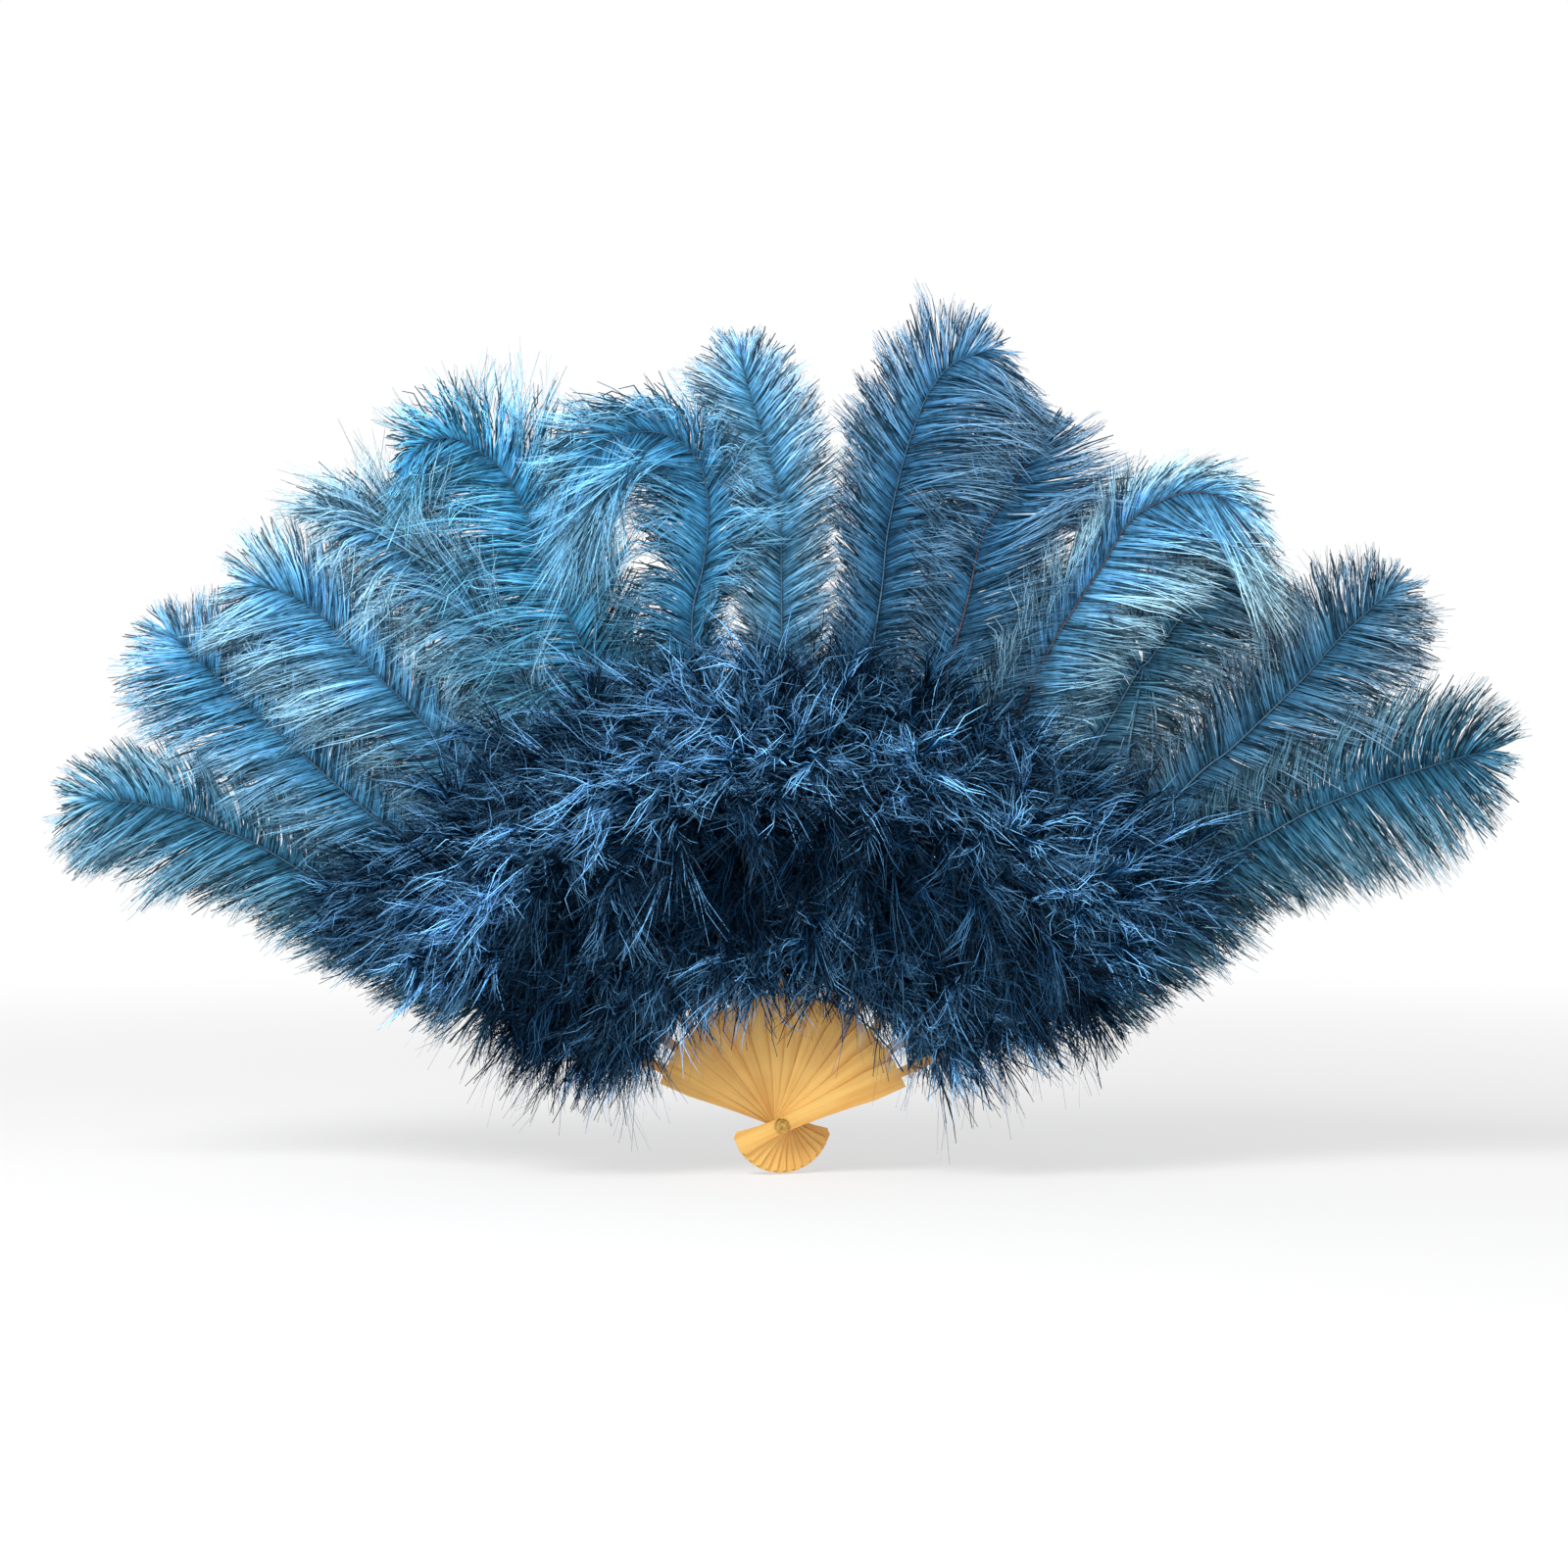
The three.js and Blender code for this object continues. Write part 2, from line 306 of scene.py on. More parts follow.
# What a finished feather keeps: the values that its dyes read, which part of it is quill, and Blender's
# own layers
KEPT_ATTRIBUTES = (
    "along", "tone_and_shade", "light", "quill",
    "position", "material_index", "sharp_face", "sharp_edge",
)

# Barbs cling together in tufts. The tufts' edges wander by a share of their width, read from a noise that
# has a row of its own for each quill and side.
TUFT_WANDER = 1.2
WANDER_STEP = 0.5
QUILL_ROW = 7.3
SIDE_ROW = 3.1

# Steps between the numbers of tufts, so that no two sides or quills share one
SIDE_TUFTS = 1000.0
QUILL_TUFTS = 3000.0

# The first two barbs of a step make an even and wider layer behind the loose ones, darkened as painted shade
UNDER_BARBS = 2
UNDER_UNREST = 0.35
UNDER_SHADE = 0.7
UNDER_WIDER = 0.6

# How far lengths stray from the vane's, times Ragged, for a whole tuft and for a barb
TUFT_STRAY = (-1.0, 0.6)
BARB_STRAY = (-1.0, 0.5)

# How much a barb hooks by itself, next to how much its tuft does
LONE_HOOK = 0.25

# What a barb's tone is made of: its tuft's and its own, at random, and how near it lies to the middle of its
# tuft, which is painted light there and painted shade towards the tuft's edges
TUFT_TONE = 0.3
BARB_TONE = 0.2
TUFT_EDGE_SHADE = 0.5

# Ribbons: how much of the width goes by the tip, the twist at most in radians, the scale of the noise that
# waves them, and how sharply they bend back at the depth limit
BARB_TAPER = 0.7
BARB_TWIST = 1.1
WAVE_SCALE = 55.0
DEPTH_SHARPNESS = 4.0

# Quill tubes: barb steps between their rings, sides of a ring, and how much of the radius goes by the tip
QUILL_RING_STEPS = 4
QUILL_SIDES = 5
QUILL_TAPER = 0.8


def add_inputs(tree, table):
    """Adds the tree's named inputs and gives each one's identifier."""
    tree.interface.new_socket(name="Geometry", in_out="OUTPUT", socket_type="NodeSocketGeometry")
    tree.interface.new_socket(name="Geometry", in_out="INPUT", socket_type="NodeSocketGeometry")
    identifiers = {}
    for name, (kind, value) in table.items():
        socket = tree.interface.new_socket(name=name, in_out="INPUT", socket_type=f"NodeSocket{kind}")
        if value is not None:
            socket.default_value = value
        identifiers[name] = socket.identifier
    return identifiers


def quill_lines(net, ask):
    """The quill lines as even steps, with the run, share and direction stored on every step."""
    quills = net.node("GeometryNodeMeshToCurve", {}, {"Mesh": ask("Geometry")})
    quills = net.node("GeometryNodeCurveSplineType", {"spline_type": "CATMULL_ROM"}, {"Curve": quills})
    inputs = {"Curve": quills, "Length": ask("Barb Step")}
    quills = net.node("GeometryNodeResampleCurve", {"mode": "LENGTH"}, inputs)
    spline = net.node("GeometryNodeSplineParameter")
    quills = net.store(quills, "quill_share", spline.pick("Factor"))
    quills = net.store(quills, "quill_run", spline.pick("Length"))
    quills = net.store(quills, "lead", net.node("GeometryNodeInputTangent"), "FLOAT_VECTOR")
    number = net.node("GeometryNodeInputIndex")
    return net.store(quills, "quill_number", number, "INT", "CURVE")


def barb_roots(net, ask, quills):
    """A point for each barb, on both sides of every step."""
    roots = net.node("GeometryNodeCurveToPoints", {"mode": "EVALUATED"}, {"Curve": quills}, "Points")
    inputs = {"Geometry": roots, "Amount": ask("Barbs per Step")}
    roots = net.node("GeometryNodeDuplicateElements", {"domain": "POINT"}, inputs, "Geometry")
    return net.store(roots, "copy", roots.pick("Duplicate Index"), "INT")


def tuft_of(net, ask, quills):
    """The number of a barb's tuft, the way from its root to the tuft's middle, and how near it is to that."""
    side = net.read("copy", "INT") % 2
    number = net.read("quill_number", "INT")
    run = net.read("quill_run")
    width = ask("Tuft Width")
    place = net.joined(run / width * WANDER_STEP, number * QUILL_ROW, side * SIDE_ROW)
    warped = run + (net.noise(place, 1.0) - 0.5) * width * TUFT_WANDER
    slot = net.math("FLOOR", warped / width)
    middle = run + (slot + 0.5) * width - warped
    inputs = {"Curves": quills, "Length": middle, "Curve Index": number}
    settings = {"mode": "LENGTH", "use_all_curves": False}
    centre = net.node("GeometryNodeSampleCurve", settings, inputs, "Position")
    position = net.node("GeometryNodeInputPosition")
    near = 1 - net.math("ABSOLUTE", (warped / width - slot) * 2 - 1)
    return slot + side * SIDE_TUFTS + number * QUILL_TUFTS, centre - position, near


def aim_barbs(net, ask, roots, quills):
    """Stores where each barb starts, and its first direction, its sag and its hook times its length."""
    seed = ask("Seed")
    tuft, to_middle, near = tuft_of(net, ask, quills)
    copy = net.read("copy", "INT")
    side = copy % 2
    under = net.math("LESS_THAN", copy, UNDER_BARBS - 0.5)
    loose = 1 - under
    vane = net.mix(side, net.read("left", "FLOAT_VECTOR"), net.read("right", "FLOAT_VECTOR"))
    length, angle, droop = net.parts(vane)
    ragged = ask("Ragged")
    length = length * (1 + net.chance(*TUFT_STRAY, seed + 1, tuft) * ragged)
    length = length * (1 + net.chance(*BARB_STRAY, seed + 2) * ragged)
    unrest = UNDER_UNREST + loose * (1 - UNDER_UNREST)
    angle = angle + net.chance(-1.0, 1.0, seed + 3, tuft) * ask("Tuft Unrest") * loose
    angle = angle + net.chance(-1.0, 1.0, seed + 4) * ask("Barb Unrest") * unrest
    lead = net.read("lead", "FLOAT_VECTOR")
    face = net.read("face", "FLOAT_VECTOR")
    across = net.vector("NORMALIZE", net.vector("CROSS_PRODUCT", lead, face))
    lift = net.vector("CROSS_PRODUCT", across, lead)
    roll = net.chance(-1.0, 1.0, seed + 5, tuft) * ask("Barb Roll")
    roll = roll + net.chance(-1.0, 1.0, seed + 14) * ask("Barb Unrest")
    out = across * (side * 2 - 1) * net.math("COSINE", roll) + lift * net.math("SINE", roll)
    way = lead * net.math("COSINE", angle) + out * net.math("SINE", angle)
    rise = net.chance(-1.0, 1.0, seed + 6, tuft) * ask("Barb Lift")
    rise = rise + net.chance(-0.5, 0.5, seed + 7) * ask("Barb Lift")
    left_bend, right_bend, light = net.parts(net.read("bend", "FLOAT_VECTOR"))
    sag = net.joined(0.0, 0.0, droop * -1) + lift * rise + lead * net.mix(side, left_bend, right_bend)
    hook = net.chance_vector(ask("Hook") * loose, seed + 8, tuft)
    hook = hook + net.chance_vector(ask("Hook") * LONE_HOOK, seed + 9)
    slip = lead * net.chance(-0.5, 0.5, seed + 10) * ask("Barb Step")
    back = face * (under * ask("Under Depth"))
    tone_and_shade = net.chance(0.0, TUFT_TONE, seed + 11, tuft) + net.chance(0.0, BARB_TONE, seed + 12)
    # Painted light at the middle of a tuft and painted shade towards its edges, as dark gaps between tufts
    tone_and_shade = tone_and_shade + near * TUFT_EDGE_SHADE
    position = net.node("GeometryNodeInputPosition")
    # The under-barbs are darkened here as painted shade
    roots = net.store(roots, "tone_and_shade", tone_and_shade * (1 - under * UNDER_SHADE))
    roots = net.store(roots, "under", under)
    roots = net.store(roots, "light", light)
    roots = net.store(roots, "twist", net.chance(-1.0, 1.0, seed + 13))
    roots = net.store(roots, "way", way * length, "FLOAT_VECTOR")
    roots = net.store(roots, "sag", sag * length, "FLOAT_VECTOR")
    roots = net.store(roots, "hook", hook * length + to_middle * (ask("Tuft Pull") * loose), "FLOAT_VECTOR")
    return net.store(roots, "root", position + slip - back, "FLOAT_VECTOR")


def within_depth(net, ask, place):
    """Bends a place back smoothly before it passes the depth limit, front or back."""
    x, y, z = net.parts(place)
    share = y / ask("Depth Limit")
    kept = y / (1 + share ** DEPTH_SHARPNESS) ** (1 / DEPTH_SHARPNESS)
    return net.joined(x, kept, z)


def barb_ribbons(net, ask, roots):
    """One tapering ribbon on each root."""
    line = net.node("GeometryNodeCurvePrimitiveLine", {}, {"Start": (0.0, 0.0, 0.0), "End": (0.01, 0.0, 0.0)})
    inputs = {"Curve": line, "Count": ask("Barb Bends") + 1}
    line = net.node("GeometryNodeResampleCurve", {"mode": "COUNT"}, inputs)
    barbs = net.node("GeometryNodeInstanceOnPoints", {}, {"Points": roots, "Instance": line})
    barbs = net.node("GeometryNodeRealizeInstances", {}, {"Geometry": barbs})
    barbs = net.store(barbs, "along", net.node("GeometryNodeSplineParameter").pick("Factor"))
    u = net.read("along")
    root = net.read("root", "FLOAT_VECTOR")
    way = net.read("way", "FLOAT_VECTOR")
    place = root + way * u
    place = place + net.read("sag", "FLOAT_VECTOR") * (u ** 2.0)
    place = place + net.read("hook", "FLOAT_VECTOR") * (u ** 3.0)
    wobble = net.noise(place + way * 2.0, WAVE_SCALE, 1.0, "Color") - (0.5, 0.5, 0.5)
    place = within_depth(net, ask, place + wobble * (u * ask("Wave") * 2.0))
    barbs = net.node("GeometryNodeSetPosition", {}, {"Geometry": barbs, "Position": place})
    barbs = net.node("GeometryNodeSetCurveNormal", {"mode": "Z_UP"}, {"Curve": barbs})
    tilt = net.read("twist") * BARB_TWIST
    barbs = net.node("GeometryNodeSetCurveTilt", {}, {"Curve": barbs, "Tilt": tilt})
    width = ask("Barb Width") * (1.0 - BARB_TAPER * u ** 2.0) * (1 + net.read("under") * (UNDER_WIDER + u))
    edge = net.node("GeometryNodeCurvePrimitiveLine", {}, {"Start": (0.0, -0.5, 0.0), "End": (0.0, 0.5, 0.0)})
    inputs = {"Curve": barbs, "Profile Curve": edge, "Scale": width}
    return net.node("GeometryNodeCurveToMesh", {}, inputs)


def quill_tubes(net, ask, quills):
    """The tapering quills themselves."""
    share = net.read("quill_share")
    inputs = {"Curve": quills, "Length": ask("Barb Step") * QUILL_RING_STEPS}
    tubes = net.node("GeometryNodeResampleCurve", {"mode": "LENGTH"}, inputs)
    proud = net.node("GeometryNodeInputPosition") + net.read("face", "FLOAT_VECTOR") * ask("Quill Radius")
    inputs = {"Geometry": tubes, "Position": within_depth(net, ask, proud)}
    tubes = net.node("GeometryNodeSetPosition", {}, inputs)
    tubes = net.store(tubes, "quill", 1.0)
    ring = net.node("GeometryNodeCurvePrimitiveCircle", {}, {"Resolution": QUILL_SIDES, "Radius": 1.0})
    scale = ask("Quill Radius") * (1.0 - QUILL_TAPER * share)
    inputs = {"Curve": tubes, "Profile Curve": ring, "Scale": scale, "Fill Caps": True}
    return net.node("GeometryNodeCurveToMesh", {}, inputs)


def feather_tree():
    tree = bpy.data.node_groups.new("feathers", "GeometryNodeTree")
    identifiers = add_inputs(tree, FEATHER_INPUTS)
    net = Net(tree)
    given = net.node("NodeGroupInput")
    ask = given.pick
    quills = quill_lines(net, ask)
    roots = aim_barbs(net, ask, barb_roots(net, ask, quills), quills)
    joined = net.node("GeometryNodeJoinGeometry")
    for part in (quill_tubes(net, ask, quills), barb_ribbons(net, ask, roots)):
        tree.links.new(part.socket, joined.socket.node.inputs[0])
    solid = net.node("GeometryNodeRealizeInstances", {}, {"Geometry": joined})
    dyed = net.node("GeometryNodeSetMaterial", {}, {"Geometry": solid, "Material": ask("Dye")})
    on_quill = net.math("GREATER_THAN", net.read("quill"), 0.5)
    inputs = {"Geometry": dyed, "Selection": on_quill, "Material": ask("Quill Dye")}
    dyed = net.node("GeometryNodeSetMaterial", {}, inputs)
    net.node("NodeGroupOutput", {}, {"Geometry": dyed})
    return tree, identifiers


def add_object(name, data):
    made = bpy.data.objects.new(name, data)
    bpy.context.scene.collection.objects.link(made)
    return made


def plain_mesh(carrier):
    """The mesh that an object's curve or modifiers make; the object itself goes."""
    evaluated = carrier.evaluated_get(bpy.context.evaluated_depsgraph_get())
    mesh = bpy.data.meshes.new_from_object(evaluated)
    bpy.data.objects.remove(carrier)
    return mesh


def line_mesh(name, lines):
    """A mesh of open lines whose points carry what the barbs read.

    On each side that is the vane's length, angle and droop. The bend holds both sides' bends and the light,
    and the face is the way that the feather looks.
    """
    points = [point for line in lines for point in line]
    edges = []
    start = 0
    for line in lines:
        edges += [(start + i, start + i + 1) for i in range(len(line) - 1)]
        start += len(line)
    mesh = bpy.data.meshes.new(name)
    mesh.from_pydata([point["place"] for point in points], edges, [])
    for key in ("left", "right", "bend", "face"):
        attribute = mesh.attributes.new(key, "FLOAT_VECTOR", "POINT")
        attribute.data.foreach_set("vector", [value for point in points for value in point[key]])
    return mesh


def grow(name, lines, sizes):
    """A plain mesh object of the feathers that grow along the lines."""
    tree, identifiers = FEATHERS
    carrier = add_object(f"{name}_lines", line_mesh(f"{name}_lines", lines))
    modifier = carrier.modifiers.new("feathers", "NODES")
    modifier.node_group = tree
    for key, value in sizes.items():
        modifier[identifiers[key]] = value
    mesh = plain_mesh(carrier)
    for attribute in [each.name for each in mesh.attributes if not each.is_internal]:
        if attribute not in KEPT_ATTRIBUTES:
            mesh.attributes.remove(mesh.attributes[attribute])
    mesh.name = name
    return add_object(name, mesh)


def settle(piece, k, replaced):
    """Puts a feather piece on its stick, hides the imported parts that it replaces, and gives it a mesh of
    its own.
    """
    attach(piece, side_name(k))
    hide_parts(*replaced)
    fold_joint(k)
    tuple(sideways(k * STICK_PITCH))
    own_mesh(piece)


# Finishes


def new_material(name):
    material = bpy.data.materials.new(name)
    material.use_nodes = True
    material.node_tree.nodes.clear()
    return material, Net(material.node_tree)


def finish_material(net, inputs):
    shader = net.node("ShaderNodeBsdfPrincipled", {}, inputs, "BSDF")
    net.node("ShaderNodeOutputMaterial", {}, {"Surface": shader})


def shader_attribute(net, name):
    return net.node("ShaderNodeAttribute", {"attribute_name": name}, {}, "Fac")


def object_place(net):
    return net.node("ShaderNodeTexCoord", {}, {}, "Object")


# Scales of the noise in the dyes: clouds over a whole feather, and flecks and streaks on its barbs
CLOUD_SCALE = 9.0
FLECK_SCALE = 160.0
STREAK_SCALE = 300.0

# How dark and how bright a barb's shade may be, and what is left of it as painted shade where its light is
# nil
DARKEST_SHADE = 0.16
BRIGHTEST_SHADE = 1.68
UNLIT_SHADE = 0.24
SHEEN_BLUE = (110, 180, 225)


def feather_dye_and_light(name, deep, body, tip, root_span, tip_span, sheen):
    """Dyed barbs with painted light: deep at the root, clearer to the tip, uneven from barb to barb and tuft
    to tuft.

    The spans are the shares of a barb over which the body's colour, and then the tip's, comes in.
    """
    material, net = new_material(name)
    along = shader_attribute(net, "along")
    tone_and_shade = shader_attribute(net, "tone_and_shade")
    place = object_place(net)
    light = shader_attribute(net, "light")
    cloud = net.noise(place, CLOUD_SCALE, 3.0)
    fleck = net.noise(place, FLECK_SCALE, 2.0)
    # Clouds and the tufts' tones push both borders along the barbs, and the last tenth darkens again
    # The deep colour near the root is partly the dyed colour and partly painted shade along the quill
    root_dye_and_shade = net.spread(along + (cloud - 0.5) * 0.4, *root_span)
    # The pale tip colour comes in only as far as the light attribute lets it, as a painted highlight
    lit = net.spread(along + (tone_and_shade - 0.5) * 0.5 + (cloud - 0.5) * 0.8, *tip_span)
    color = net.tint(root_dye_and_shade, linear(*deep), linear(*body))
    color = net.tint(lit * light, color, linear(*tip))
    color = net.tint(net.spread(along, 0.9, 1.0) * 0.45, color, linear(*deep))
    shade = net.spread(tone_and_shade + (fleck - 0.5) * 0.5, 0.1, 0.8, DARKEST_SHADE, BRIGHTEST_SHADE)
    # Painted shade: the whole colour darkens where the light attribute is low
    shade = shade * (UNLIT_SHADE + (1 - UNLIT_SHADE) * light)
    color = net.tint(1.0, color, net.joined(shade, shade, shade), "MULTIPLY")
    finish_material(net, {
        "Base Color": color,
        "Roughness": net.spread(fleck, 0.3, 0.7, 0.5, 0.68),
        "Specular IOR Level": 0.06,
        "Sheen Weight": sheen,
        "Sheen Roughness": 0.4,
        "Sheen Tint": linear(*SHEEN_BLUE),
    })
    return material


def quill_dye(name, root, tip):
    """A quill or a cord in two near colours, streaked."""
    material, net = new_material(name)
    streak = net.noise(object_place(net), STREAK_SCALE, 2.0)
    color = net.tint(net.spread(streak, 0.35, 0.7), linear(*root), linear(*tip))
    finish_material(net, {
        "Base Color": color,
        "Roughness": net.spread(streak, 0.3, 0.7, 0.35, 0.5),
    })
    return material


# The plumes' common blue at the root, partly painted shade, along the barbs, and at their tips, partly
# painted highlight; and the most of any channel
PLUME_BLUES = ((18, 74, 112), (94, 172, 216), (160, 218, 250))
FULL_CHANNEL = 250


def plume_dye_and_light(k, strengths):
    """The same blue on every plume, scaled for each partly as it was dyed and partly as painted light and
    shade.
    """
    deep, body, tip = [
        tuple(min(channel * share, FULL_CHANNEL) for channel, share in zip(color, strengths))
        for color in PLUME_BLUES
    ]
    return feather_dye_and_light(f"plume_dye_and_light_{side_name(k)}", deep, body, tip, (-0.2, 0.36), (0.22, 0.95), 0.2)


# Golden lacquer and its pores, and how fine the grain and the bands run across and along a stick
LIGHT_GOLD = (244, 196, 108)
DARK_GOLD = (222, 160, 74)
PORE_BROWN = (176, 116, 48)
GRAIN_SCALES = (900.0, 900.0, 18.0)
BAND_SCALES = (160.0, 160.0, 6.0)
LACQUER_CLOUD_SCALE = 30.0
GRAIN_DEPTH = 0.2 * MM


def stick_lacquer(name, angle, warmth):
    """Golden stick: fine lengthwise grain under a satin coat, darker in the pores."""
    material, net = new_material(name)
    inputs = {"Vector": object_place(net), "Rotation": (0.0, -angle, 0.0)}
    place = net.node("ShaderNodeMapping", {"vector_type": "POINT"}, inputs)
    grain = net.noise(place * GRAIN_SCALES, 1.0, 3.0)
    bands = net.noise(place * BAND_SCALES, 1.0, 2.0)
    cloud = net.noise(place, LACQUER_CLOUD_SCALE, 2.0)
    banded = net.spread(bands + (cloud - 0.5) * 0.5, 0.25, 0.8)
    color = net.tint(banded, linear(*LIGHT_GOLD), linear(*DARK_GOLD))
    pores = net.spread(grain, 0.58, 0.78)
    color = net.tint(pores * 0.35, color, linear(*PORE_BROWN))
    color = net.tint(1.0, color, (warmth, warmth, warmth * 0.97, 1.0), "MULTIPLY")
    bump = net.node("ShaderNodeBump", {}, {"Strength": 0.25, "Distance": GRAIN_DEPTH, "Height": grain})
    finish_material(net, {
        "Base Color": color,
        "Roughness": net.spread(grain + cloud * 0.3, 0.3, 0.9, 0.36, 0.52),
        "Normal": bump,
        "Coat Weight": 0.15,
        "Coat Roughness": 0.3,
    })
    return material


# Brass where it is rubbed and where it is tarnished, and how fine its scratches run
RUBBED_BRASS = (214, 170, 92)
TARNISHED_BRASS = (142, 104, 58)
TARNISH_SCALE = 260.0
SCRATCH_SCALES = (2600.0, 2600.0, 300.0)
SCRATCH_DEPTH = 0.1 * MM


def old_brass():
    """The rivet's brass: cloudy with tarnish, and finely scratched."""
    material, net = new_material("old_brass")
    place = object_place(net)
    tarnish = net.spread(net.noise(place, TARNISH_SCALE, 4.0), 0.4, 0.7)
    scratch = net.noise(place * SCRATCH_SCALES, 1.0, 2.0)
    color = net.tint(tarnish, linear(*RUBBED_BRASS), linear(*TARNISHED_BRASS))
    bump = net.node("ShaderNodeBump", {}, {"Strength": 0.2, "Distance": SCRATCH_DEPTH, "Height": scratch})
    finish_material(net, {
        "Base Color": color,
        "Metallic": 1.0,
        "Roughness": net.spread(tarnish + (scratch - 0.5) * 0.4, 0.0, 1.0, 0.25, 0.5),
        "Normal": bump,
    })
    return material


# The marabou's colour: deep at the root partly as painted shade, and pale at the tip as painted highlight
# where its light allows
MARABOU_DYE_AND_LIGHT = feather_dye_and_light(
    "marabou_dye_and_light",
    deep=(0, 22, 42),
    body=(3, 74, 124),
    tip=(124, 192, 246),
    root_span=(0.0, 0.6),
    tip_span=(0.34, 0.92),
    sheen=0.0,
)
PLUME_QUILL = quill_dye("plume_quill", (50, 84, 108), (72, 108, 130))
BROWN_QUILL = quill_dye("brown_quill", (74, 58, 62), (96, 84, 92))
CORD_DYE = quill_dye("cord_dye", (18, 50, 84), (34, 78, 118))

FEATHERS = feather_tree()


# Plumes


class Vane(NamedTuple):
    """The barbs on one side of a plume."""

    root: float  # length of the barbs near the marabou, in mm
    blade: float  # and along the plume's blade
    tip: float  # and at its tip
    angle: float  # between the barbs and the quill, in degrees
    droop: float  # how far a barb hangs by its end, as a share of its length
    bend: float  # how far it bends towards the plume's tip, as a share of its length


# Sizes of the plumes whose barbs end in curls
CURLY = {"Hook": 0.36, "Wave": 12 * MM}

